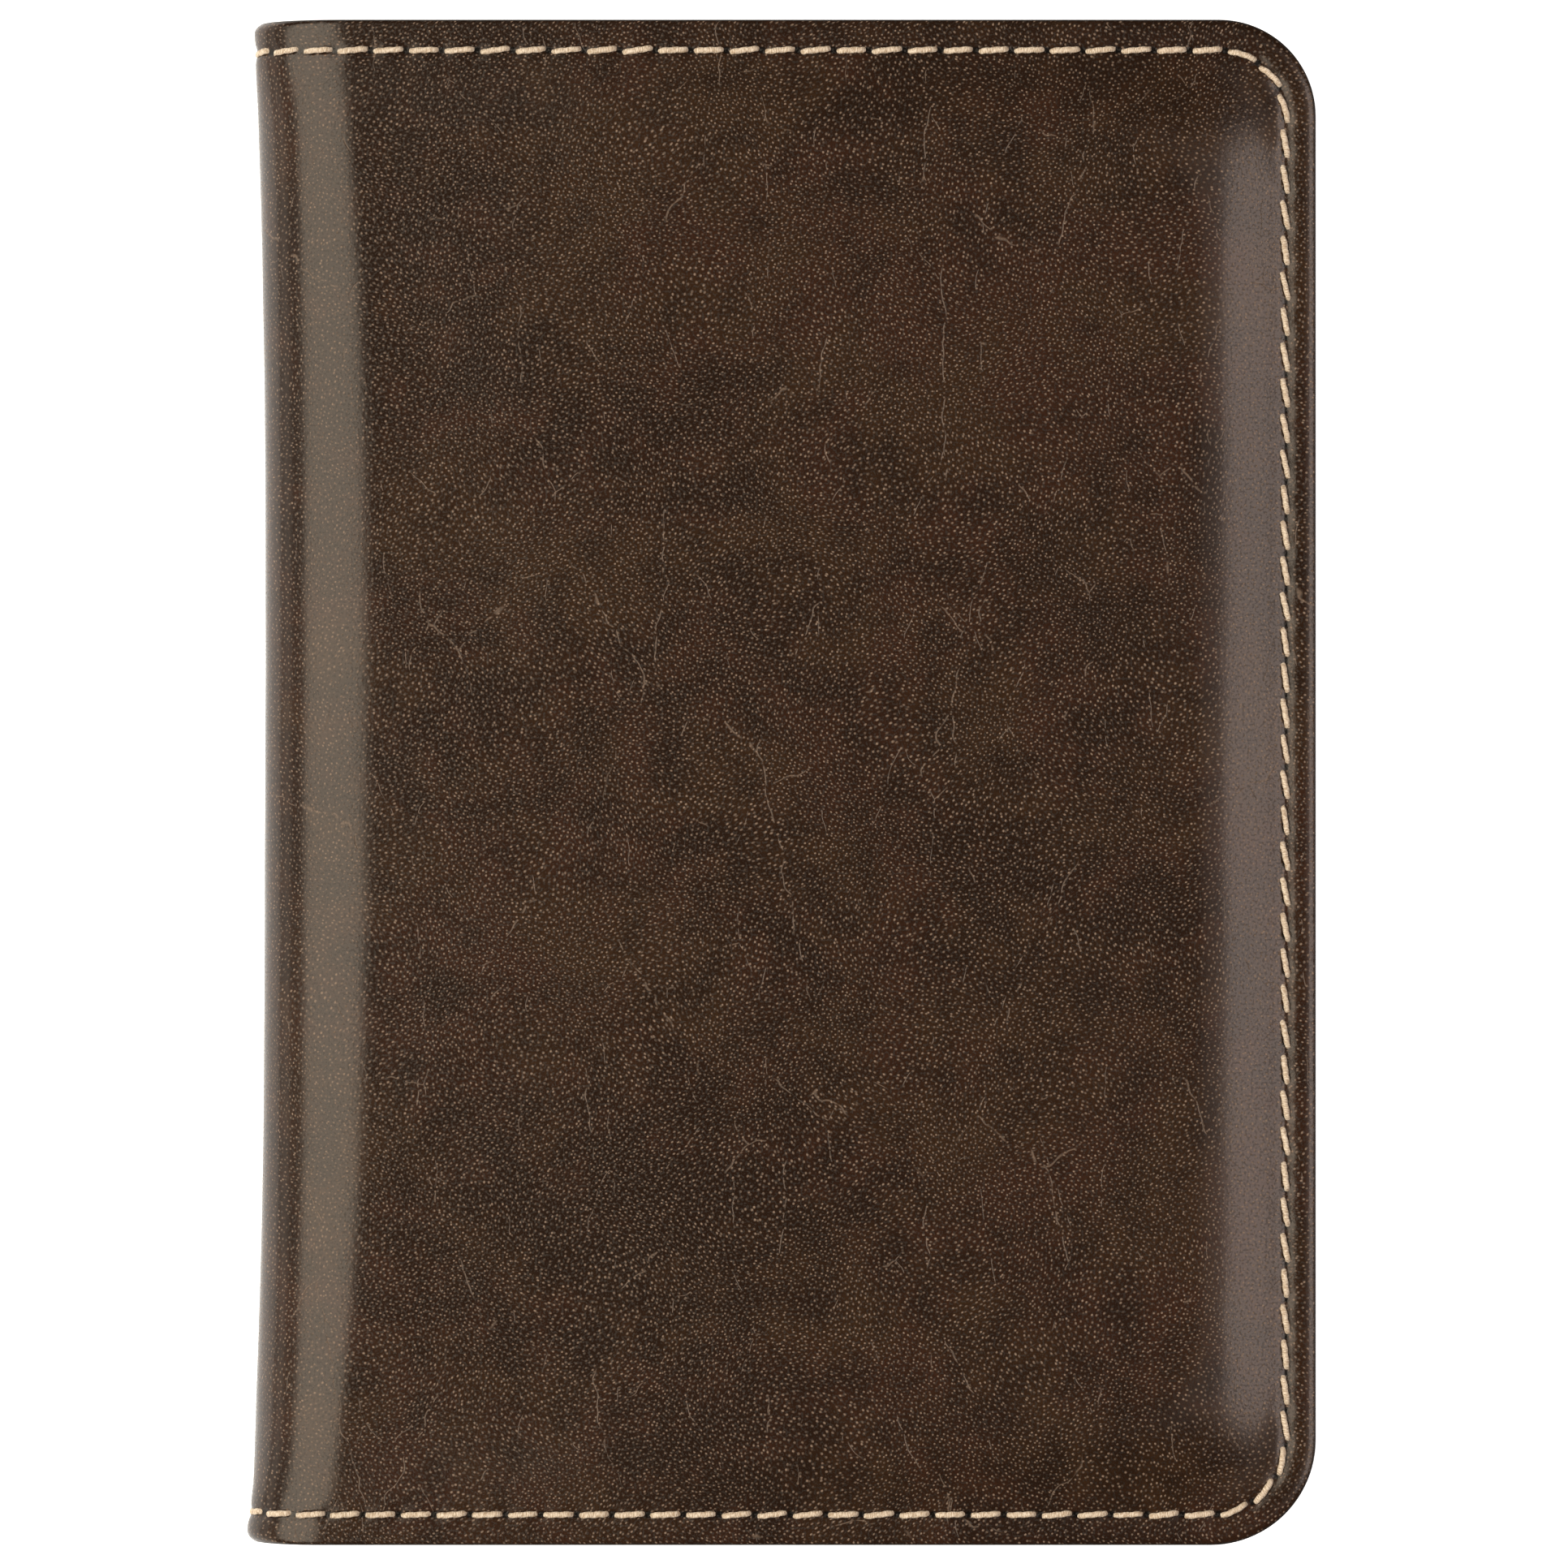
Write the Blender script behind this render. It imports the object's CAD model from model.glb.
"""Passport holder: its looks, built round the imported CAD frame.

The covers, lining and pockets are drawn in millimetres about the holder's middle plane, like the
CAD, and turned into metres when a mesh is made. "side" is 1 on the front cover, -1 on the back.
"""
import math

import bpy
import numpy as np
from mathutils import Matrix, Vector, noise


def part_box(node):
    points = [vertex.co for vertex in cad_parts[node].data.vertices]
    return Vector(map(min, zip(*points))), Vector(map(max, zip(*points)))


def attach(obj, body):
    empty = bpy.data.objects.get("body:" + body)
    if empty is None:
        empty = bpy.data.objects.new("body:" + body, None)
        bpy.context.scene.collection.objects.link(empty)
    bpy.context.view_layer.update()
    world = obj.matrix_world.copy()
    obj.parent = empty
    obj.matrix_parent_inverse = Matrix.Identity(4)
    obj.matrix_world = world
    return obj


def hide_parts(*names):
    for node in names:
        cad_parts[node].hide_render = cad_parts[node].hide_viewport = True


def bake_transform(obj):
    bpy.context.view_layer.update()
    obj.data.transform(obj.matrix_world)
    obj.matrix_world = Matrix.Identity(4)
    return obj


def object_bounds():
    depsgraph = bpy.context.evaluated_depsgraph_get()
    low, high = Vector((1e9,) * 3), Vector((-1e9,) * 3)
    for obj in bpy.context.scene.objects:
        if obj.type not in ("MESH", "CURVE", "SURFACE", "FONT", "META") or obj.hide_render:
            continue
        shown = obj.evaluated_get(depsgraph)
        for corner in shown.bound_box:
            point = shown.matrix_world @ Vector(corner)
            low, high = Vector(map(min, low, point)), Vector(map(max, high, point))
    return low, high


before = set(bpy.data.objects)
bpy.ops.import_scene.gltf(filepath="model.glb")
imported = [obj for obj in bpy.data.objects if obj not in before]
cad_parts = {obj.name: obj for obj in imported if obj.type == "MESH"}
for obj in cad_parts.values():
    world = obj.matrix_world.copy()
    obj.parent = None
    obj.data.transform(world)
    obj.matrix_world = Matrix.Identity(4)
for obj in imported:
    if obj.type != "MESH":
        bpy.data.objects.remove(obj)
cad_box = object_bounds()

# ---- sizes, in millimetres; lights and camera at the end are in metres ----------------------
MM = 0.001
EDGE_X = cad_box[1].x / MM
HALF_Y, HALF_Z = [(high - low) / 2 / MM for low, high in list(zip(*cad_box))[1:]]
TOP_R, BOTTOM_R = 9.0, 9.8                  # corners by the opening edge
LEATHER, LINING, AIR = 0.9, 0.33, 0.02      # thicknesses, and the gap that keeps layers apart
RIM, RISE = 2.85, 1.5                       # sewn rim, and how far the padding stands above it
SLOPE, SLOPE_BY_SPINE = 8.9, 10.4           # run of the padded slope
PAD_ROUND = 12.0                            # reach of the padding's rounded corners
SPINE_START, SPINE_X = -38.0, -48.68        # where the bend starts, and its outermost x at mid height
START_SHIFT = 3.1                           # the bend starts nearer the spine where that flares
LINING_START, LINING_GAP = -40.6, 0.1       # the lining's bend, and its gap to the leather there
INNER_LEATHER = HALF_Z - RISE - LEATHER     # underside of the flat leather
LINING_Z = INNER_LEATHER - AIR
BOARD_TOP = INNER_LEATHER + 0.7             # just clear of the board
PITCH, THREAD_R = 3.3, 0.275                # from one stitch to the next, and the thread's radius
HOLE_GAP, HOLE_DIVE = 0.30, 0.62            # between two stitches, and how deep their ends go
SPINE_SINK = 0.28                           # the thread bites deeper where it goes round the spine
PLY_DEPTH, PLY_TWIST = 0.13, 2.1            # share of the radius, and radians per mm
THREAD_OVAL = 0.86                          # height of the thread as a share of its width
SEAM_Y = HALF_Y - RIM
STEP_OFF = 1.9                              # run of a thread down from the edge of a layer
LAYERS_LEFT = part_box("slip_pocket_panel")[0].x / MM
LEATHER_STEP, LINING_STEP = 0.62, 1.2       # grid steps
ARC_RUN, FLAT_RUN = 16, 78                  # lengths of bend and field that the grid steps divide
PAD_GAP = 0.16                              # foam to leather, more than the leather's unevenness


def smooth(t):
    """0 to 1 with level ends."""
    t = np.clip(t, 0.0, 1.0)
    return t * t * (3 - 2 * t)


# ---- shape of the covers --------------------------------------------------------------------
def corner(y):
    """Radius of the corner on y's side of the outline, and the x and |y| of its centre."""
    r = np.where(y > 0, TOP_R, BOTTOM_R)
    return r, EDGE_X - r, HALF_Y - r


def inset(x, y):
    """Distance in from the sewn outline."""
    r, cx, cy = corner(y)
    qx, qy = x - cx, np.abs(y) - cy
    return r - np.where((qx > 0) & (qy > 0), np.hypot(qx, qy), np.maximum(qx, qy))


def edge_x(y, d=0.0):
    """X of the opening edge's outline at y, or of the line d inside it."""
    r, cx, cy = corner(y)
    q = np.maximum(0.0, np.abs(y) - cy)
    return cx + np.sqrt(np.maximum(0.0, (r - d) ** 2 - q * q))


def puff(x, y):
    """Height of the padded leather above the middle plane; the padding's own corners are rounder."""
    dx, dy = EDGE_X - x, HALF_Y - np.abs(y)
    blend = np.maximum(PAD_ROUND - np.abs(dx - dy), 0) / PAD_ROUND
    pad = np.minimum(inset(x, y), np.minimum(dx, dy) - blend ** 2 * PAD_ROUND / 4)
    run = SLOPE + (SLOPE_BY_SPINE - SLOPE) * smooth((-16 - x) / 20)
    t = np.clip((pad - RIM) / run, 0, 1)
    return HALF_Z - RISE * (1 - smooth(1 - (1 - t) ** 1.35))


def flare(y):
    """How far the spine stands out towards its ends, more at the bottom."""
    d = HALF_Y - np.abs(y)
    top = 0.95 * (1 - np.minimum(1.0, d / 50)) ** 2
    bottom = 1.25 * (1 - np.minimum(1.0, d / 62)) ** 2 + 0.45 * smooth(1 - d / 6)
    return np.where(y > 0, top, bottom)


def spine_at(y):
    """Outermost x of the spine's leather, its ends turned in a little."""
    d = HALF_Y - np.abs(y)
    turn = 1 - np.clip(1 - d / np.where(y > 0, 1.0, 1.5), 0, 1) ** 2
    return SPINE_X - flare(y) + 0.75 * (1 - np.sqrt(turn))


def leather_arc(y):
    """Start x, half width and half height of the leather's half ellipse round the spine."""
    x = SPINE_START - START_SHIFT * flare(y)
    return x, x - spine_at(y), puff(x, y)


def lining_arc(y):
    """The same for the lining, inside the leather."""
    return LINING_START + 0 * y, LINING_START - spine_at(y) - LEATHER - LINING_GAP, LINING_Z + 0 * y


def arc_point(arc, t):
    """Points and outward normals (x, z) of the half ellipse at angle t; t = 90 degrees is mid spine."""
    x, a, b = arc
    nx, nz = -np.sin(t) * b, np.cos(t) * a
    n = np.hypot(nx, nz)
    return x - a * np.sin(t), b * np.cos(t), nx / n, nz / n


def value_noise(points, scale, seed):
    """Smooth noise of about -1 to 1 at points (n, 2)."""
    shift = Vector((seed * 17.3, seed * 5.1, seed * 9.7))
    return np.array([noise.noise(Vector((p[0], p[1], 0.0)) * scale + shift) for p in points])


def seam_length(x, y, u_arc, start):
    """Distance along the perimeter seam from mid spine, for points near it."""
    r, cx, cy = corner(y)
    top = np.where(x > cx, cx, x) - start + u_arc
    qx, qy = np.maximum(x - cx, 0), np.abs(y) - cy
    angle = np.where((qx > 0) & (qy > 0), math.pi / 2 - np.arctan2(qy, np.maximum(qx, 1e-6)), 0)
    angle = np.where((qx > 0) & (qy <= 0), math.pi / 2, angle)
    down = np.where((qx > 0) & (qy <= 0), -qy, 0)
    return top + (r - RIM) * angle + down


# ---- meshes ---------------------------------------------------------------------------------
def make_mesh(name, vertices, faces, materials, uvs=None, floats=None, face_material=None):
    """Mesh object from points in mm; uvs and floats are {name: per-vertex values}."""
    mesh = bpy.data.meshes.new(name)
    points = np.asarray(vertices, float) + [0, 0, HALF_Z]
    mesh.from_pydata((points * MM).tolist(), [], [tuple(f) for f in faces])
    corner = np.empty(len(mesh.loops), np.int32)
    mesh.loops.foreach_get("vertex_index", corner)
    for key, uv in (uvs or {}).items():
        layer = mesh.uv_layers.new(name=key)
        layer.data.foreach_set("uv", np.asarray(uv, np.float32)[corner].ravel())
    for key, values in (floats or {}).items():
        attribute = mesh.attributes.new(key, "FLOAT", "POINT")
        attribute.data.foreach_set("value", np.asarray(values, np.float32))
    for m in materials:
        mesh.materials.append(m)
    if face_material is not None:
        mesh.polygons.foreach_set("material_index", np.asarray(face_material, np.int32))
    mesh.polygons.foreach_set("use_smooth", np.ones(len(mesh.polygons), bool))
    mesh.validate()
    mesh.update()
    piece = bpy.data.objects.new(name, mesh)
    bpy.context.scene.collection.objects.link(piece)
    return piece


def shell(upper, lower, flip):
    """Vertices and quads of the closed body between two (rows, columns, 3) sheets."""
    rows, columns = upper.shape[:2]
    index = np.arange(2 * rows * columns).reshape(2, rows, columns)
    a, b = index

    def quads(p, q, r, s):
        return np.stack([p, q, r, s], -1).reshape(-1, 4)

    parts = [
        quads(a[:-1, :-1], a[:-1, 1:], a[1:, 1:], a[1:, :-1]),
        quads(b[:-1, :-1], b[1:, :-1], b[1:, 1:], b[:-1, 1:]),
        quads(a[:-1, 0], a[1:, 0], b[1:, 0], b[:-1, 0]),
        quads(a[:-1, -1], b[:-1, -1], b[1:, -1], a[1:, -1]),
        quads(a[0, :-1], b[0, :-1], b[0, 1:], a[0, 1:]),
        quads(a[-1, :-1], a[-1, 1:], b[-1, 1:], b[-1, :-1]),
    ]
    faces = np.concatenate(parts)
    if flip:
        faces = faces[:, ::-1]
    return np.concatenate([upper.reshape(-1, 3), lower.reshape(-1, 3)]), faces


# distances in from the outline of the rim's grid lines, closest where the edge and the groove curve
RIM_STEPS = [0, 0.03, 0.09, 0.18, 0.3, 0.45, 0.65, 0.9, 1.2, 1.5, 1.8, 2.05, 2.25, 2.45, 2.6, 2.7,
             2.8, 2.95, 3.15, 3.4, 3.8, 4.3, 4.8, 5.4, 6, 6.6, 7.2, 7.8, 8.4, 9]


def row_heights(step):
    """Y of the grid rows: the rim's steps at both ends, even steps between."""
    inner = HALF_Y - RIM_STEPS[-1]
    count = int(round(2 * inner / step))
    middle = np.linspace(-inner, inner, count + 1)[1:-1]
    ends = np.array(RIM_STEPS)
    return np.concatenate([-HALF_Y + ends, middle, (HALF_Y - ends)[::-1]])


def wrapped_sheet(arc_of, level_at, thickness, side, step, relief=None):
    """A cover's sheet from mid spine to the opening edge, as (outer, inner, arc length, inset, seam)."""
    ys = row_heights(step)
    arc_columns = int(round(ARC_RUN / step)) + 1
    flat_columns = int(round(FLAT_RUN / step))
    arc = [v[:, None] for v in arc_of(ys)]
    t = np.linspace(math.pi / 2, 0, arc_columns)[None, :]
    ax, az, nx, nz = arc_point(arc, t)
    y = np.repeat(ys[:, None], arc_columns, 1)
    length = np.hypot(np.diff(ax, axis=1), np.diff(az, axis=1)).cumsum(1)
    u_arc = np.concatenate([np.zeros((len(ys), 1)), length], 1)
    # flat part: even columns up to the padded slope, then the rim's steps
    right = edge_x(ys)[:, None]
    near = right - np.array(RIM_STEPS[::-1])[None, :]
    f = np.linspace(0, 1, flat_columns + 1)[None, 1:-1]
    field = arc[0] + (near[:, :1] - arc[0]) * f
    fx = np.concatenate([field, near], 1)
    fy = np.repeat(ys[:, None], fx.shape[1], 1)
    d_flat = inset(fx, fy)
    fz = level_at(fx, fy)
    x = np.concatenate([ax, fx], 1)
    y = np.concatenate([y, fy], 1)
    z = np.concatenate([az, fz], 1)
    nx = np.concatenate([nx, 0 * fx], 1)
    nz = np.concatenate([nz, 0 * fx + 1], 1)
    d = np.concatenate([np.repeat(HALF_Y - np.abs(ys)[:, None], arc_columns, 1), d_flat], 1)
    total = u_arc[:, -1:]
    u = np.concatenate([u_arc, total + fx - arc[0]], 1)
    seam = seam_length(np.maximum(x, arc[0]), y, np.minimum(u, total), arc[0])
    lift = relief(y, u, d, seam) if relief else 0
    outer = np.stack([x + nx * lift, y, side * (z + nz * lift)], -1)
    inner = np.stack([x - nx * thickness, y, side * (z - nz * thickness)], -1)
    return outer, inner, u, d, seam


# ---- materials ------------------------------------------------------------------------------
class Nodes:
    """Short hand for building one node material."""

    def __init__(self, name):
        self.material = bpy.data.materials.new(name)
        self.material.use_nodes = True
        self.tree = self.material.node_tree
        self.tree.nodes.clear()
        self.output = self.tree.nodes.new("ShaderNodeOutputMaterial")
        self.bsdf = self.tree.nodes.new("ShaderNodeBsdfPrincipled")
        self.link(self.bsdf.outputs["BSDF"], self.output.inputs["Surface"])

    def link(self, a, b):
        """Wire output a to input b."""
        self.tree.links.new(a, b)

    def set(self, socket, value):
        """Give an input a value, or wire it to an output."""
        if isinstance(value, bpy.types.NodeSocket):
            self.link(value, socket)
        elif value is not None:
            socket.default_value = value

    def node(self, kind, out=0, settings=None, **inputs):
        """A new node's output; a space in an input's name is written as an underscore."""
        n = self.tree.nodes.new("ShaderNode" + kind)
        for k, v in (settings or {}).items():
            setattr(n, k, v)
        for k, v in inputs.items():
            self.set(n.inputs[k.replace("_", " ")], v)
        return n.outputs[out]

    def math(self, operation, a, b=None, clamp=False):
        n = self.tree.nodes.new("ShaderNodeMath")
        n.operation, n.use_clamp = operation, clamp
        for socket, value in zip(n.inputs, (a, b)):
            self.set(socket, value)
        return n.outputs[0]

    def mix(self, factor, a, b):
        """Colour a where factor is 0, b where it is 1."""
        n = self.tree.nodes.new("ShaderNodeMix")
        n.data_type = "RGBA"
        self.set(n.inputs["Factor"], factor)
        for key, value in (("A", a), ("B", b)):
            socket = [s for s in n.inputs if s.name == key and s.type == "RGBA"][0]
            self.set(socket, (*value, 1) if isinstance(value, tuple) and len(value) == 3 else value)
        return [s for s in n.outputs if s.type == "RGBA"][0]

    def ramp(self, value, low, high):
        """0 below low, 1 above high, smooth between."""
        n = self.tree.nodes.new("ShaderNodeMapRange")
        n.interpolation_type = "SMOOTHSTEP"
        self.set(n.inputs["Value"], value)
        n.inputs["From Min"].default_value, n.inputs["From Max"].default_value = low, high
        return n.outputs["Result"]

    def uv(self, name):
        return self.node("UVMap", settings={"uv_map": name})

    def scaled(self, vector, scale):
        return self.node("Mapping", Vector=vector, Scale=scale)

    def noise(self, vector, scale, detail=2.0, roughness=0.5, dims="2D"):
        return self.node("TexNoise", settings={"noise_dimensions": dims}, Vector=vector, Scale=scale,
                         Detail=detail, Roughness=roughness)

    def finish(self, color, roughness, height=None, distance=0.00003, **sockets):
        """Wire up the Principled node, with a bump of distance metres, and return the material."""
        self.set(self.bsdf.inputs["Base Color"], (*color, 1) if isinstance(color, tuple) else color)
        self.set(self.bsdf.inputs["Roughness"], roughness)
        if height is not None:
            normal = self.node("Bump", Height=height, Distance=distance)
            self.link(normal, self.bsdf.inputs["Normal"])
        for k, v in sockets.items():
            self.bsdf.inputs[k.replace("_", " ")].default_value = v
        return self.material


def grain_leather(name):
    """Dark brown waxed leather: clouded tone, fine pale speckle, short pale creases, dark painted edge."""
    m = Nodes(name)
    uv = m.uv("grain")

    def warped(scale, detail, amount, stretch=(1, 1, 1)):
        """The grain coordinates pushed about by noise."""
        push = m.node("VectorMath", settings={"operation": "SCALE"})
        m.link(m.node("TexNoise", out=1, settings={"noise_dimensions": "2D"}, Vector=uv, Scale=scale,
                      Detail=detail), push.node.inputs[0])
        push.node.inputs["Scale"].default_value = amount
        total = m.node("VectorMath", settings={"operation": "ADD"})
        m.link(m.scaled(uv, stretch), total.node.inputs[0])
        m.link(push, total.node.inputs[1])
        return total

    cloud = m.noise(uv, 0.035, 3, 0.55)
    mottle = m.noise(uv, 0.28, 4, 0.6)
    hue = m.noise(uv, 0.075, 3, 0.6)
    fine = m.noise(uv, 2.6, 3, 0.6)
    tone = m.math("ADD", m.math("MULTIPLY", cloud, 0.5), m.math("MULTIPLY", mottle, 0.5))
    brown = m.mix(m.ramp(hue, 0.4, 0.6), LEATHER_RED, LEATHER_TAN)
    base = m.mix(m.ramp(tone, 0.36, 0.62), LEATHER_DARK, brown)
    base = m.mix(m.math("MULTIPLY", m.ramp(fine, 0.42, 0.62), 0.45), base, LEATHER_DARK)
    # speckle: one pale dot per cell, of uneven strength
    turned = m.node("VectorRotate", Vector=warped(0.09, 0, 3.2), Angle=0.5)
    cells = m.node("TexVoronoi", settings={"voronoi_dimensions": "2D"}, Vector=turned, Scale=2.1,
                   Randomness=0.72)
    cell = m.node("SeparateColor", Color=cells.node.outputs["Color"])
    dot = m.math("SUBTRACT", 1.0, m.ramp(cells, 0.07, 0.285))
    share = m.math("ADD", 0.25, m.math("MULTIPLY", cell, 0.8))
    strong = m.math("MULTIPLY", m.ramp(mottle, 0.3, 0.6), 0.3)
    share = m.math("MULTIPLY", share, m.math("ADD", 0.7, strong))
    dots = m.math("MULTIPLY", dot, share)
    # creases: broken runs of two stretched networks, a coarse one and a fine one
    creases = None
    for scale, amount, where, high in ((0.075, 1.1, 0.11, 0.57), (0.14, 0.75, 0.24, 0.60)):
        edges = m.node("TexVoronoi", settings={"voronoi_dimensions": "2D", "feature": "DISTANCE_TO_EDGE"},
                       Vector=warped(0.4, 1, amount, (1, 0.45, 1)), Scale=scale)
        line = m.math("SUBTRACT", 1.0, m.ramp(edges, 0.0005, 0.0055))
        piece = m.math("MULTIPLY", line, m.ramp(m.noise(uv, where, 2), high - 0.06, high))
        creases = piece if creases is None else m.math("MAXIMUM", creases, piece)
    crease = m.math("MULTIPLY", creases, m.ramp(m.noise(uv, 0.8, 1), 0.39, 0.52))
    pale = m.math("MAXIMUM", dots, m.math("MULTIPLY", crease, 0.44))
    color = m.mix(pale, base, LEATHER_PALE)
    # needle holes and the painted edge
    seam = m.node("SeparateXYZ", Vector=m.uv("seam"))
    across = m.math("ABSOLUTE", seam.node.outputs["Y"])
    near_hole = m.math("ABSOLUTE", m.math("SUBTRACT", m.math("FRACT", m.math("ADD", seam, 0.5)), 0.5))
    hole = m.math("MULTIPLY", m.math("SUBTRACT", 1.0, m.ramp(near_hole, 0.05, 0.12)),
                  m.math("SUBTRACT", 1.0, m.ramp(across, 0.2, 0.42)))
    edge = m.node("Attribute", out=2, settings={"attribute_name": "rim"})
    edge_noise = m.math("ADD", edge, m.math("MULTIPLY", m.math("SUBTRACT", fine, 0.5), 0.3))
    painted = m.ramp(edge_noise, 0.4, 0.6)
    # fine dark pits, then what breaks up the gloss
    pits = m.ramp(m.noise(uv, 4.2, 1, 0.5), 0.5, 0.64)
    color = m.mix(m.math("MULTIPLY", pits, 0.5), color, PIT_COLOR)
    color = m.mix(hole, color, HOLE_COLOR)
    color = m.mix(painted, color, EDGE_COLOR)
    rough = m.math("ADD", 0.165, m.math("MULTIPLY", pits, 0.17))
    rough = m.math("ADD", rough, m.math("MULTIPLY", pale, 0.42))
    rough = m.math("ADD", rough, m.math("MULTIPLY", painted, 0.2), clamp=True)
    height = m.math("ADD", m.math("MULTIPLY", dot, 0.6), m.math("MULTIPLY", fine, 1.0))
    height = m.math("ADD", height, m.math("MULTIPLY", crease, -1.0))
    return m.finish(color, rough, height, distance=0.00001, Specular_Tint=(1, 0.91, 0.82, 1))


def smooth_leather(name, dark, light):
    """Thin pocket leather: finer pebble, matt, with painted edges; mouth creases are in the mesh."""
    m = Nodes(name)
    uv = m.uv("grain")
    cloud = m.noise(uv, 0.06, 3, 0.55)
    fine = m.noise(uv, 3.5, 3, 0.6)
    pebble = m.node("TexVoronoi", settings={"voronoi_dimensions": "2D"}, Vector=uv, Scale=1.7)
    tone = m.math("ADD", m.math("MULTIPLY", cloud, 0.6), m.math("MULTIPLY", fine, 0.4))
    base = m.mix(m.ramp(tone, 0.35, 0.65), dark, light)
    base = m.mix(m.math("MULTIPLY", m.ramp(pebble, 0.3, 0.65), 0.5), base, (0.012, 0.008, 0.006))
    edge = m.node("Attribute", out=2, settings={"attribute_name": "rim"})
    color = m.mix(m.ramp(edge, 0.4, 0.6), base, (0.012, 0.009, 0.0075))
    height = m.math("SUBTRACT", m.math("MULTIPLY", fine, 0.4), m.math("MULTIPLY", pebble, 0.8))
    rough = m.math("ADD", 0.36, m.math("MULTIPLY", fine, 0.14))
    return m.finish(color, rough, height, distance=0.00003, Specular_Tint=(1, 0.93, 0.86, 1))


def microfibre(name):
    """Short napped lining cloth."""
    m = Nodes(name)
    uv = m.uv("grain")
    nap = m.noise(uv, 5.0, 4, 0.7)
    brushed = m.noise(m.scaled(uv, (1.5, 0.45, 1)), 1.0, 4, 0.65)
    cloud = m.noise(uv, 0.05, 3)
    tone = m.math("ADD", m.math("MULTIPLY", nap, 0.5), m.math("MULTIPLY", brushed, 0.25))
    tone = m.math("ADD", tone, m.math("MULTIPLY", cloud, 0.25))
    color = m.mix(m.ramp(tone, 0.3, 0.7), (0.040, 0.026, 0.017), (0.085, 0.057, 0.038))
    edge = m.node("Attribute", out=2, settings={"attribute_name": "rim"})
    color = m.mix(m.ramp(edge, 0.4, 0.6), color, (0.014, 0.010, 0.008))
    return m.finish(color, 0.92, nap, distance=0.00008, Sheen_Weight=0.35, Sheen_Roughness=0.5)


def waxed_thread(name):
    """Cream twisted thread; its plies are in the mesh, the fibres are here."""
    m = Nodes(name)
    uv = m.uv("grain")
    fibre = m.noise(m.scaled(uv, (1.0, 0.22, 1.0)), 9.0, 3, 0.6)
    patch = m.noise(uv, 0.5, 2)
    color = m.mix(m.ramp(fibre, 0.34, 0.66), (0.44, 0.31, 0.195), (0.84, 0.70, 0.54))
    color = m.mix(m.math("MULTIPLY", m.ramp(patch, 0.45, 0.75), 0.35), color, (0.60, 0.46, 0.33))
    dirt = m.node("Attribute", out=2, settings={"attribute_name": "sunk"})
    color = m.mix(m.math("MULTIPLY", dirt, 0.75), color, (0.17, 0.11, 0.07))
    return m.finish(color, 0.62, fibre, distance=0.00003, Sheen_Weight=0.1)


def foam_material(name):
    """Open grey foam."""
    m = Nodes(name)
    at = m.node("TexCoord", out=3)
    pores = m.node("TexVoronoi", Vector=at, Scale=2600.0)
    patch = m.noise(at, 220.0, 3, dims="3D")
    color = m.mix(m.ramp(pores, 0.25, 0.65), (0.12, 0.11, 0.10), (0.34, 0.32, 0.29))
    color = m.mix(m.math("MULTIPLY", patch, 0.3), color, (0.22, 0.20, 0.18))
    return m.finish(color, 0.95, pores, distance=0.0001)


def board_material(name):
    """Pressed brown fibre board."""
    m = Nodes(name)
    at = m.node("TexCoord", out=3)
    fibre = m.noise(m.scaled(at, (300, 900, 900)), 1.0, 5, 0.65, dims="3D")
    fleck = m.noise(at, 1500.0, 2, dims="3D")
    color = m.mix(m.ramp(fibre, 0.3, 0.7), (0.20, 0.14, 0.085), (0.36, 0.27, 0.18))
    color = m.mix(m.ramp(fleck, 0.68, 0.8), color, (0.10, 0.07, 0.045))
    return m.finish(color, 0.9, fibre, distance=0.00005)


LEATHER_DARK = (0.0165, 0.0066, 0.0026)
LEATHER_RED = (0.037, 0.0135, 0.0060)
LEATHER_TAN = (0.036, 0.0158, 0.0060)
LEATHER_PALE = (0.25, 0.166, 0.112)
PIT_COLOR = (0.006, 0.003, 0.0015)
HOLE_COLOR = (0.003, 0.002, 0.0015)
EDGE_COLOR = (0.008, 0.006, 0.0055)
LEATHER_MAT = grain_leather("speckled_grain_leather")
POCKET_MAT = smooth_leather("pocket_leather", (0.0185, 0.0096, 0.0052), (0.045, 0.0240, 0.0138))
LINING_MAT = microfibre("microfibre_lining")
THREAD_MAT = waxed_thread("waxed_thread")
FOAM_MAT = foam_material("foam_sheet")
BOARD_MAT = board_material("fibre_board")


# ---- outer leather and lining ---------------------------------------------------------------
def seam_total(arc_of):
    """Length of the perimeter seam from mid spine round a cover to mid spine."""
    total = 0
    for y in (SEAM_Y, -SEAM_Y):
        arc = [float(v) for v in arc_of(np.array(y))]
        ax, az, _, _ = arc_point(arc, np.linspace(math.pi / 2, 0, 200))
        r, cx, cy = [float(v) for v in corner(np.array(y))]
        total += np.hypot(np.diff(ax), np.diff(az)).sum() + cx - arc[0] + (r - RIM) * math.pi / 2 + cy
    return total


SEAM_TOTAL = seam_total(leather_arc)
STITCH = SEAM_TOTAL / round(SEAM_TOTAL / PITCH)


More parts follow.
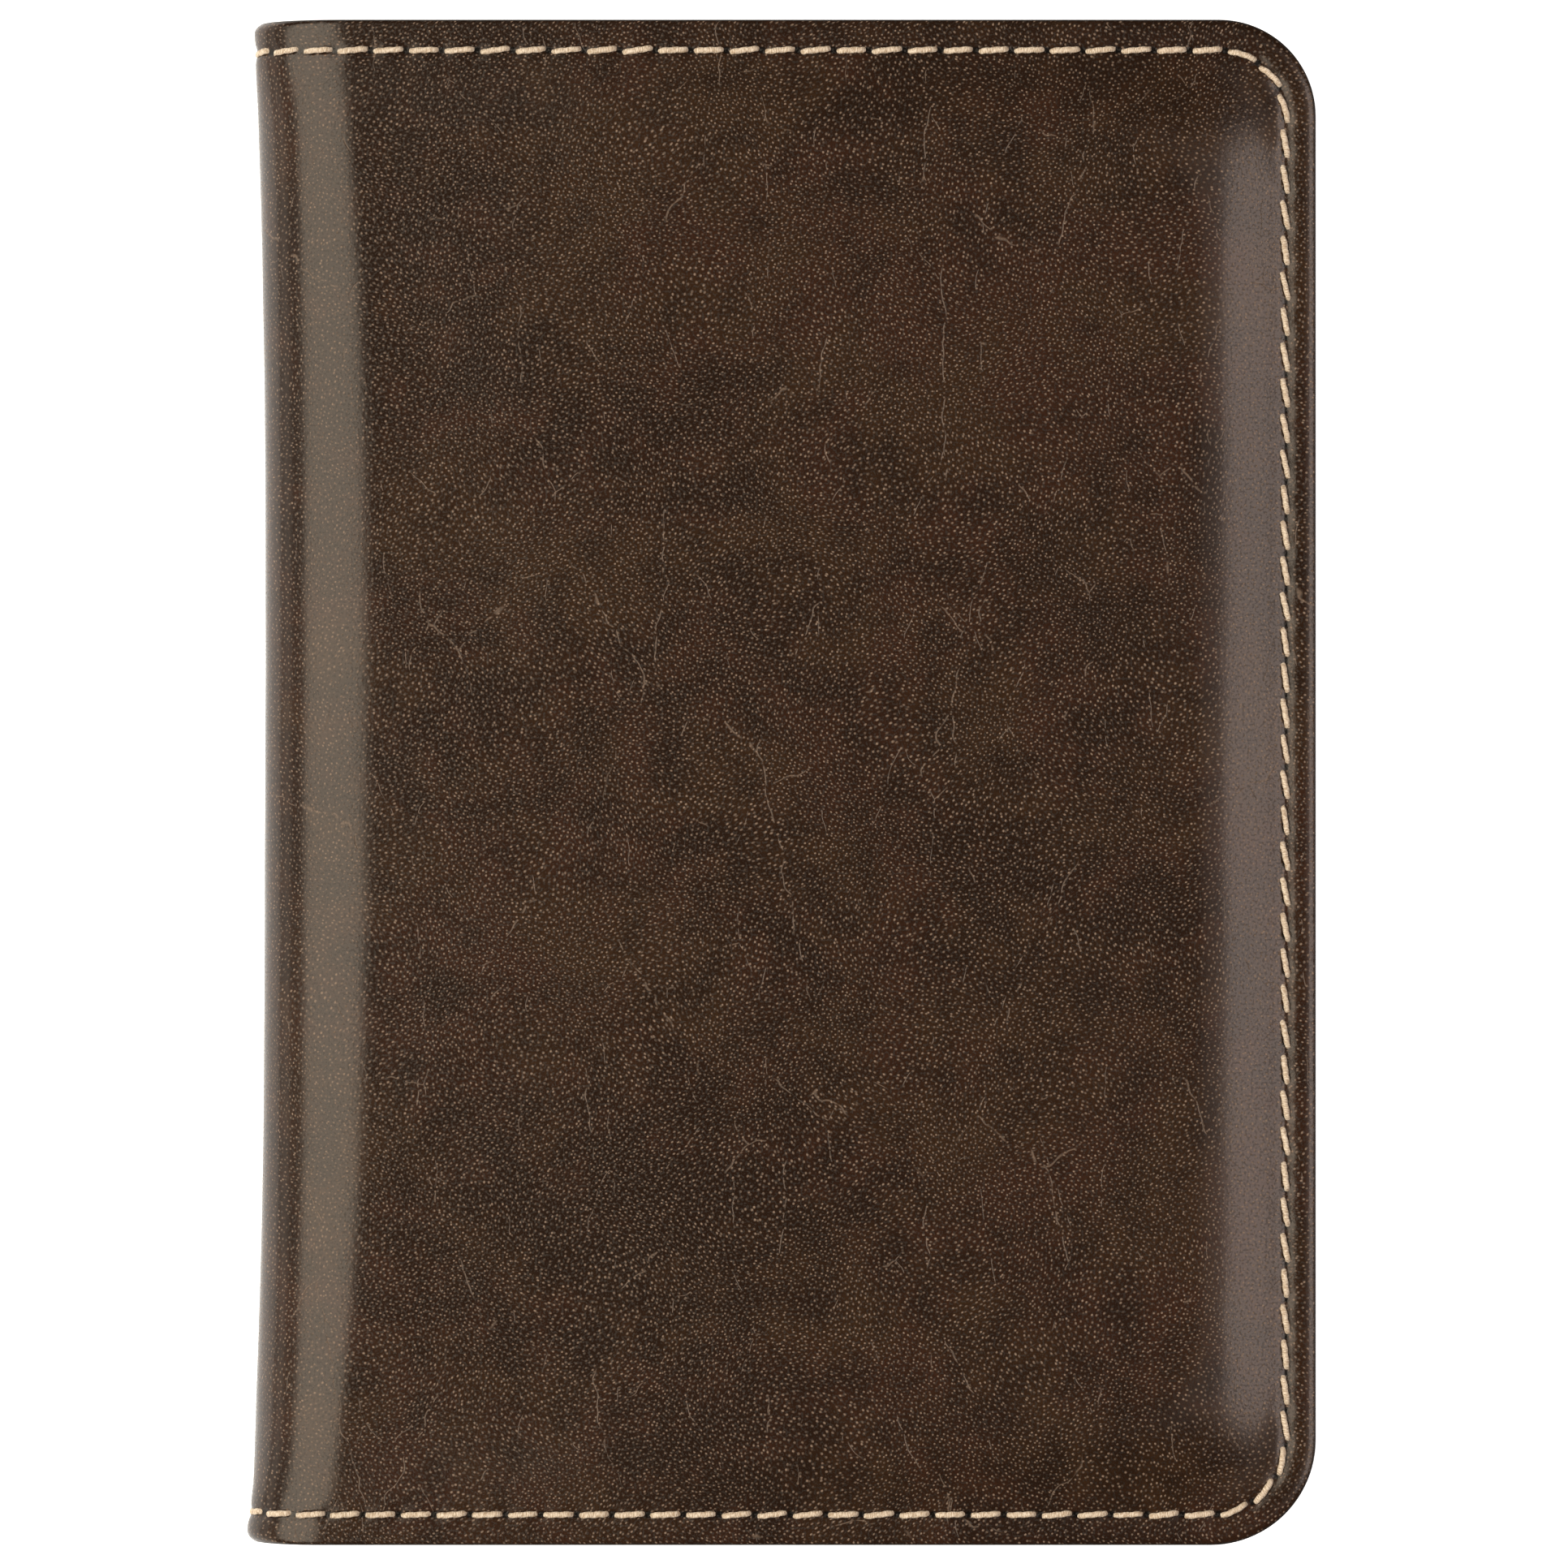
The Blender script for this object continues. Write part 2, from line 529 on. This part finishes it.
def leather_relief(y, u, d, seam):
    """Rounded rim, sewn groove, puckers at the stitches and a slight unevenness of the padding."""
    rim = -0.26 * np.clip(1 - d / 0.9, 0, 1) ** 2
    groove = -0.16 * np.exp(-((d - RIM) / np.where(d < RIM, 0.8, 0.42)) ** 2)
    at_hole = (0.5 + 0.5 * np.cos(2 * math.pi * seam / STITCH)) ** 2
    pucker = -0.10 * np.exp(-((d - RIM) / 0.7) ** 2) * at_hole
    points = np.stack([u.ravel(), y.ravel()], 1)
    uneven = value_noise(points, 0.045, 1).reshape(u.shape) * 0.10 - 0.08
    uneven += value_noise(points, 0.16, 2).reshape(u.shape) * 0.025
    return rim + groove + pucker + uneven * smooth((d - 3) / 6)


def add_wrapped(name, arc_of, level_at, thickness, side, step, material, relief=None):
    """A wrapped sheet as a closed piece, its cut face at mid spine marked off by sharp edges."""
    outer, inner, u, d, seam = wrapped_sheet(arc_of, level_at, thickness, side, step, relief)
    y = outer[..., 1]
    vertices, faces = shell(outer, inner, side < 0)
    grain = np.stack([side * u, y + 0 * u], -1).reshape(-1, 2)
    seams = np.stack([seam / STITCH, d - RIM], -1).reshape(-1, 2)
    rim_outer = (d < 0.14).astype(float).ravel()
    rim_inner = (d < 0.5).astype(float).ravel()
    piece = make_mesh(
        name, vertices, faces, [material],
        uvs={"grain": np.concatenate([grain, grain]), "seam": np.concatenate([seams, seams + 50])},
        floats={"rim": np.concatenate([rim_outer, rim_inner])},
    )
    columns = u.shape[1]
    ends = np.empty(2 * len(piece.data.edges), np.int32)
    piece.data.edges.foreach_get("vertices", ends)
    at_spine = (ends.reshape(-1, 2) % columns == 0).all(1)
    piece.data.edges.foreach_set("use_edge_sharp", at_spine)
    return piece


def bend_piece(piece):
    """The piece follows its cover and turns with the spine across the fold line."""
    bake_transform(piece)


def flat_size(arc_of):
    """Width and length of a wrapped sheet laid flat, in metres."""
    arc = [float(v) for v in arc_of(np.array(0.0))]
    ax, az, _, _ = arc_point(arc, np.linspace(math.pi / 2, 0, 200))
    bend = np.hypot(np.diff(ax), np.diff(az)).sum()
    return (bend + EDGE_X - arc[0]) * MM, 2 * HALF_Y * MM


for cover, side in (("front", 1), ("back", -1)):
    skin = add_wrapped(f"{cover}_leather_and_spine", leather_arc, puff, LEATHER, side,
                       LEATHER_STEP, LEATHER_MAT, leather_relief)
    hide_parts(f"{cover}_cover_leather", "spine_leather")
    bend_piece(skin)
    cloth = add_wrapped(f"{cover}_lining_and_spine", lining_arc, lambda x, y: LINING_Z + 0 * x,
                        LINING, side, LINING_STEP, LINING_MAT)
    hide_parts(f"{cover}_lining", "spine_lining")
    bend_piece(cloth)
    flat_size(lining_arc)


# ---- foam and boards ------------------------------------------------------------------------
def joined_columns(ys, lead, tail, f):
    """X of a grid's columns: lead on every row, shares f of the way across, then tail."""
    middle = lead[-1] + (tail[:, :1] - lead[-1]) * f
    return np.concatenate([np.repeat(lead[None], len(ys), 0), middle, tail], 1)


def foam_pad(cover, side):
    """Soft pad under the leather: crowned on top, stepped down over the edge of the board."""
    node = f"{cover}_padding"
    low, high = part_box(node)
    left, margin = low.x / MM, HALF_Y - high.y / MM
    ends = margin + np.array([0, 0.15, 0.4, 0.8, 1.3, 1.75, 1.8, 2.4, 3.2, 4, 5])
    inner = HALF_Y - ends[-1]
    ys = np.concatenate([-HALF_Y + ends, np.linspace(-inner, inner, 60)[1:-1], (HALF_Y - ends)[::-1]])
    lead = left + np.array([0, 0.2, 0.65, 0.7, 1.4, 3])
    tail = edge_x(ys, margin)[:, None] - (ends - margin)[::-1][None, :]
    f = np.linspace(0, 1, 40)[None, 1:-1]
    xs = joined_columns(ys, lead, tail, f)
    y = np.repeat(ys[:, None], xs.shape[1], 1)
    d = inset(xs, y)
    x0, a, b = [v[:, None] for v in leather_arc(ys)]
    bent = b * np.sqrt(np.maximum(0, 1 - (np.maximum(0, x0 - xs) / a) ** 2))
    roof = np.where(xs < x0, bent, puff(xs, y)) - LEATHER - PAD_GAP
    edge = np.minimum(d - margin, xs - left)
    roof = roof - 0.12 * (1 - smooth(edge / 1.2))
    over = (d > margin + 1.78) & (xs > left + 0.68)
    floor_z = np.where(over, BOARD_TOP, INNER_LEATHER) + AIR
    top = np.stack([xs, y, side * np.maximum(roof, floor_z + 0.05)], -1)
    bottom = np.stack([xs, y, side * floor_z], -1)
    vertices, faces = shell(top, bottom, side < 0)
    pad = make_mesh(f"{cover}_foam", vertices, faces, [FOAM_MAT])
    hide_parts(node)
    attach(pad, f"{cover}_cover")


for cover, side in (("front", 1), ("back", -1)):
    foam_pad(cover, side)
    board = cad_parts[f"{cover}_stiffener_board"]
    board.data.materials.clear()
    board.data.materials.append(BOARD_MAT)


# ---- pocket layers --------------------------------------------------------------------------
def pocket_layer(name, node, cover, side, mouth_side, bulge, fade):
    """Thin leather layer; mouth_side is the free edge: 'top' (+Y) or 'left' (towards the spine)."""
    low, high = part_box(node)
    left, y_top = low.x / MM, high.y / MM
    thick = (high.z - low.z) / MM
    face = (high.z if side > 0 else low.z) / MM - HALF_Z      # against the cover
    far = abs(face) - thick                                    # towards the passport
    ends = np.array([0, 0.04, 0.12, 0.25, 0.5, 0.8, 1.0, 1.15, 1.3, 1.5, 1.9, 2.5, 3.4, 4.6, 6.4, 9])
    if mouth_side == "top":
        upper_ends = y_top - ends[::-1]
    else:
        upper_ends = (HALF_Y - ends)[::-1]
    start, stop = -HALF_Y + ends[-1], upper_ends[0]
    count = max(2, int((stop - start) / 1.6))
    ys = np.concatenate([-HALF_Y + ends, np.linspace(start, stop, count)[1:-1], upper_ends])
    lead = left + ends[:12]
    tail = edge_x(ys)[:, None] - ends[::-1][None, :]
    f = np.linspace(0, 1, 44)[None, 1:-1]
    xs = joined_columns(ys, lead, tail, f)
    y = np.repeat(ys[:, None], xs.shape[1], 1)
    d = inset(xs, y)
    if mouth_side == "top":
        from_mouth, across = y_top - y, (xs - left) / (EDGE_X - left)
        edge = np.minimum(np.minimum(d, from_mouth), xs - left)
    else:
        from_mouth, across = xs - left, (y + HALF_Y) / (2 * HALF_Y)
        edge = np.minimum(d, from_mouth)
    open_up = bulge * np.sin(math.pi * np.clip(across, 0, 1)) ** 1.3 * smooth(1 - from_mouth / fade)
    open_up = open_up + 0.012 * np.sin(xs * 0.31 + 1.0) * np.sin(y * 0.23)
    crease = 0.09 * np.exp(-((from_mouth - 1.15) / 0.16) ** 2)
    rounding = 0.10 * np.clip(1 - edge / 0.35, 0, 1) ** 2
    inner_z = far - open_up + crease + rounding
    outer_z = np.minimum(face * side, far + thick - open_up) - 0 * xs
    near_face = np.stack([xs, y, side * outer_z], -1)
    seen_face = np.stack([xs, y, side * inner_z], -1)
    vertices, faces = shell(near_face, seen_face, side < 0)
    grain = np.stack([xs, y], -1).reshape(-1, 2) + [len(name) * 13.0, 7.0 * side]
    rim = (edge < 0.1).astype(float).ravel()
    layer = make_mesh(name, vertices, faces, [POCKET_MAT], uvs={"grain": np.concatenate([grain, grain])},
                      floats={"rim": np.concatenate([rim, rim])})
    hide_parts(node)
    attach(layer, f"{cover}_cover")


pocket_layer("slip_panel", "slip_pocket_panel", "front", 1, "left", 0.10, 10)
pocket_layer("upper_card_pocket", "card_pocket_upper", "front", 1, "top", 0.22, 13)
pocket_layer("middle_card_pocket", "card_pocket_middle", "front", 1, "top", 0.22, 13)
pocket_layer("lower_card_pocket", "card_pocket_lower", "front", 1, "top", 0.25, 14)
pocket_layer("sleeve_panel", "passport_sleeve", "back", -1, "left", 0.30, 30)
pocket_layer("boarding_pass_pocket", "ticket_pocket", "back", -1, "top", 0.22, 16)


# ---- stitches -------------------------------------------------------------------------------
class Path:
    """Run of positions and outward directions that a seam follows, in mm."""

    def __init__(self, points, ups):
        self.points, self.ups = np.array(points, float), np.array(ups, float)
        steps = np.linalg.norm(np.diff(self.points, axis=0), axis=1)
        keep = np.concatenate([[True], steps > 1e-6])
        self.points, self.ups = self.points[keep], self.ups[keep]
        steps = np.linalg.norm(np.diff(self.points, axis=0), axis=1)
        self.along = np.concatenate([[0], np.cumsum(steps)])
        self.length = self.along[-1]

    def at(self, s):
        """Positions, outward and sideways directions at the lengths s."""
        p = np.stack([np.interp(s, self.along, self.points[:, k]) for k in range(3)], -1)
        n = np.stack([np.interp(s, self.along, self.ups[:, k]) for k in range(3)], -1)
        ahead = np.stack([np.interp(s + 0.25, self.along, self.points[:, k]) for k in range(3)], -1)
        behind = np.stack([np.interp(s - 0.25, self.along, self.points[:, k]) for k in range(3)], -1)
        tangent = ahead - behind
        tangent /= np.linalg.norm(tangent, axis=-1, keepdims=True)
        n /= np.linalg.norm(n, axis=-1, keepdims=True)
        out = np.cross(n, tangent)
        out /= np.linalg.norm(out, axis=-1, keepdims=True)
        return p, n, out


def perimeter_path(arc_of, level_at, side, facing):
    """Seam round a cover, mid spine top to mid spine bottom. facing 1 outside, -1 inside."""
    points, ups = [], []

    def arc(y, ts):
        values = [float(v) for v in arc_of(np.array(y))]
        step = 0 if facing > 0 else LINING_Z - LINING - level_at(values[0], y)
        for t in ts:
            x, z, nx, nz = arc_point(values, t)
            depth = 0 if facing > 0 else LINING + step * ramp_to(x, LAYERS_LEFT)
            points.append((x - depth * nx, y, side * (z - depth * nz)))
            ups.append((facing * nx, 0, side * facing * nz))

    def flat(x, y):
        points.append((x, y, side * level_at(x, y)))
        ups.append((0, 0, side * facing))

    quarter = np.linspace(math.pi / 2, 0, 60)
    r = TOP_R - RIM
    arc(SEAM_Y, quarter)
    for x in np.linspace(points[-1][0], EDGE_X - TOP_R, 160)[1:]:
        flat(x, SEAM_Y)
    for t in np.linspace(math.pi / 2, 0, 30)[1:]:
        flat(EDGE_X - TOP_R + r * math.cos(t), HALF_Y - TOP_R + r * math.sin(t))
    r = BOTTOM_R - RIM
    for y in np.linspace(HALF_Y - TOP_R, BOTTOM_R - HALF_Y, 240)[1:]:
        flat(EDGE_X - RIM, y)
    for t in np.linspace(0, -math.pi / 2, 30)[1:]:
        flat(EDGE_X - BOTTOM_R + r * math.cos(t), BOTTOM_R - HALF_Y + r * math.sin(t))
    for x in np.linspace(EDGE_X - BOTTOM_R, float(arc_of(np.array(-SEAM_Y))[0]), 160)[1:]:
        flat(x, -SEAM_Y)
    arc(-SEAM_Y, quarter[::-1])
    return Path(points, ups)


def stitches(name, paths, rings, around, slant, seed):
    """Rows of separate stitches: twisted plies, ends diving into their needle holes."""
    rng = np.random.default_rng(seed)
    vertices, faces, grain, sunk = [], [], [], []
    for path, handed in paths:
        count = int(round(path.length / PITCH))
        pitch = path.length / count
        for k in range(count):
            half = 0.5 * (pitch - HOLE_GAP) * (1 + rng.normal(0, 0.012))
            proud = THREAD_R * (0.35 + rng.normal(0, 0.04))
            wide = THREAD_R * (1 + rng.normal(0, 0.035))
            turn = rng.uniform(0, 2 * math.pi)
            w = np.sin(np.linspace(-math.pi / 2, math.pi / 2, rings))
            s = (k + 0.5) * pitch + half * w
            p, n, out = path.at(s)
            lean = math.tan(math.radians(slant * (1 + abs(out[rings // 2][0])) + rng.normal(0, 1.6)))
            height = proud - SPINE_SINK * n[:, 0] ** 2 - HOLE_DIVE * np.abs(w) ** 5
            radius = wide * (0.30 + 0.70 * np.sqrt(np.maximum(0, 1 - np.abs(w) ** 5)))
            centre = p + out * (handed * lean * half * w)[:, None] + n * height[:, None]
            theta = np.linspace(0, 2 * math.pi, around, endpoint=False)
            ply = 1 + PLY_DEPTH * np.cos(3 * (theta[None, :] + PLY_TWIST * (half * w)[:, None]) + turn)
            r = radius[:, None] * ply
            ring = (centre[:, None, :] + out[:, None, :] * (r * np.cos(theta))[..., None]
                    + n[:, None, :] * (THREAD_OVAL * r * np.sin(theta))[..., None])
            first = len(vertices)
            vertices.extend(ring.reshape(-1, 3))
            grain.extend(np.stack([np.repeat(s[:, None], around, 1),
                                   theta[None, :] * 0.3 + 0.25 * s[:, None]], -1).reshape(-1, 2))
            sunk.extend(np.repeat(smooth((np.abs(w) - 0.90) / 0.1), around))
            for i in range(rings - 1):
                for j in range(around):
                    a, b = first + i * around + j, first + i * around + (j + 1) % around
                    faces.append((a, b, b + around, a + around))
            faces.append(tuple(first + j for j in range(around))[::-1])
            last = first + (rings - 1) * around
            faces.append(tuple(last + j for j in range(around)))
    return make_mesh(name, vertices, faces, [THREAD_MAT], uvs={"grain": grain}, floats={"sunk": sunk})


def ramp_to(x, edge):
    """1 beyond the edge of a layer, down to 0 over the step the thread takes off it."""
    return min(1.0, max(0.0, (x - edge) / STEP_OFF + 1))


def face_levels(nodes, side):
    """Level function of the innermost layer at (x, y) from CAD boxes, lining where there is none."""
    boxes = []
    for node in nodes:
        low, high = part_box(node)
        near = (low.z if side > 0 else high.z) / MM - HALF_Z
        boxes.append((low.x / MM, high.y / MM, side * near))

    def at(x, y):
        z = bare = LINING_Z - LINING
        for left, top, value in boxes:
            cover = min(ramp_to(x, left), ramp_to(-y, -top))
            z = min(z, bare + (value - bare) * cover)
        return z
    return at


front_inside = face_levels(["slip_pocket_panel", "card_pocket_upper", "card_pocket_middle",
                            "card_pocket_lower"], 1)
back_inside = face_levels(["passport_sleeve", "ticket_pocket"], -1)
rim_level = HALF_Z - RISE - 0.06

for cover, side, inside in (("front", 1, front_inside), ("back", -1, back_inside)):
    outer_path = perimeter_path(leather_arc, lambda x, y: rim_level, side, 1)
    seam = stitches(f"{cover}_edge_stitches", [(outer_path, side)], 22, 15, 5.2, 11 + side)
    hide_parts(f"{cover}_seam_thread", "spine_seam_thread_top", "spine_seam_thread_bottom")
    bend_piece(seam)
    inner_path = perimeter_path(lining_arc, inside, side, -1)
    under = stitches(f"{cover}_inner_stitches", [(inner_path, side)], 14, 10, 0.0, 21 + side)
    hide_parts(f"{cover}_bobbin_thread", "spine_bobbin_thread_top",
                "spine_bobbin_thread_bottom")
    bend_piece(under)


def pocket_seam(name, node, cover, side, inside):
    """Straight row of stitches that holds the pockets' inner edge."""
    low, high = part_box(node)
    x = (low.x + high.x) / 2 / MM
    ys = np.linspace(low.y / MM, high.y / MM, 300)
    path = Path([(x, y, side * inside(x + 1, y)) for y in ys], [(0, 0, -side)] * len(ys))
    piece = stitches(name, [(path, side)], 14, 10, 0.0, 31 + side)
    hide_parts(node)
    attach(piece, f"{cover}_cover")


pocket_seam("card_pocket_stitches", "card_pocket_seam_thread", "front", 1, front_inside)
pocket_seam("boarding_pass_pocket_stitches", "ticket_pocket_seam_thread", "back", -1, back_inside)


# ---- studio ---------------------------------------------------------------------------------
def floor_material():
    """White floor with a little light of its own, as a lit table has."""
    m = Nodes("studio_floor")
    wash = m.node("Emission", Color=(1, 1, 1, 1), Strength=0.75)
    both = m.node("AddShader")
    m.link(m.bsdf.outputs["BSDF"], both.node.inputs[0])
    m.link(wash, both.node.inputs[1])
    m.link(both, m.output.inputs["Surface"])
    return m.finish((0.9, 0.9, 0.9), 0.9)


bpy.ops.mesh.primitive_plane_add(size=4, location=(0, 0, -0.00003))
floor = bpy.context.object
floor.name = "studio_floor"
floor.data.materials.append(floor_material())


def softbox(name, centre, width, length, radiance, color):
    """Rectangular light facing the object; radiance is what it would show in a mirror."""
    data = bpy.data.lights.new(name, "AREA")
    data.color = color
    data.shape, data.size, data.size_y = "RECTANGLE", length, width
    data.energy = radiance * math.pi * width * length
    lamp = bpy.data.objects.new(name, data)
    bpy.context.scene.collection.objects.link(lamp)
    lamp.location = centre
    lamp.rotation_euler = (Vector((0, 0, 0)) - Vector(centre)).to_track_quat("-Z", "Y").to_euler()


def at_angle(degrees, distance):
    """Point at an angle from straight up, positive towards the opening edge."""
    a = math.radians(degrees)
    return (math.sin(a) * distance, 0, math.cos(a) * distance)


softbox("left_softbox", at_angle(-33.3, 0.8), 0.64, 1.7, 3.2, (1, 0.95, 0.84))
softbox("left_card", at_angle(-67.3, 1.0), 0.5, 1.6, 0.35, (1, 0.95, 0.88))
softbox("left_low_card", at_angle(-80, 1.0), 0.26, 1.6, 0.9, (1, 0.95, 0.88))
softbox("right_softbox", at_angle(38.2, 0.8), 0.36, 0.6, 3.2, (1, 0.91, 0.91))
softbox("right_softbox_edge", at_angle(19, 0.8), 0.26, 0.5, 0.55, (1, 0.91, 0.91))

world = bpy.data.worlds.new("studio")
world.use_nodes = True
world.node_tree.nodes["Background"].inputs["Color"].default_value = (1, 1, 1, 1)
world.node_tree.nodes["Background"].inputs["Strength"].default_value = 0.06
bpy.context.scene.world = world
bpy.context.scene.view_settings.view_transform = "Standard"

# ---- camera: straight down, the top edge up -------------------------------------------------
LENS, SENSOR, PX, PX_PER_MM, SHIFT_Y = 200.0, 36.0, 1932, 13.24, -0.15
camera_data = bpy.data.cameras.new("camera")
camera_data.lens, camera_data.sensor_width = LENS, SENSOR
camera_data.clip_start = 0.01
camera = bpy.data.objects.new("camera", camera_data)
bpy.context.scene.collection.objects.link(camera)
distance = PX / PX_PER_MM * MM * LENS / SENSOR
camera.location = (0, SHIFT_Y * MM, (2 * HALF_Z - RISE) * MM + distance)
bpy.context.scene.camera = camera
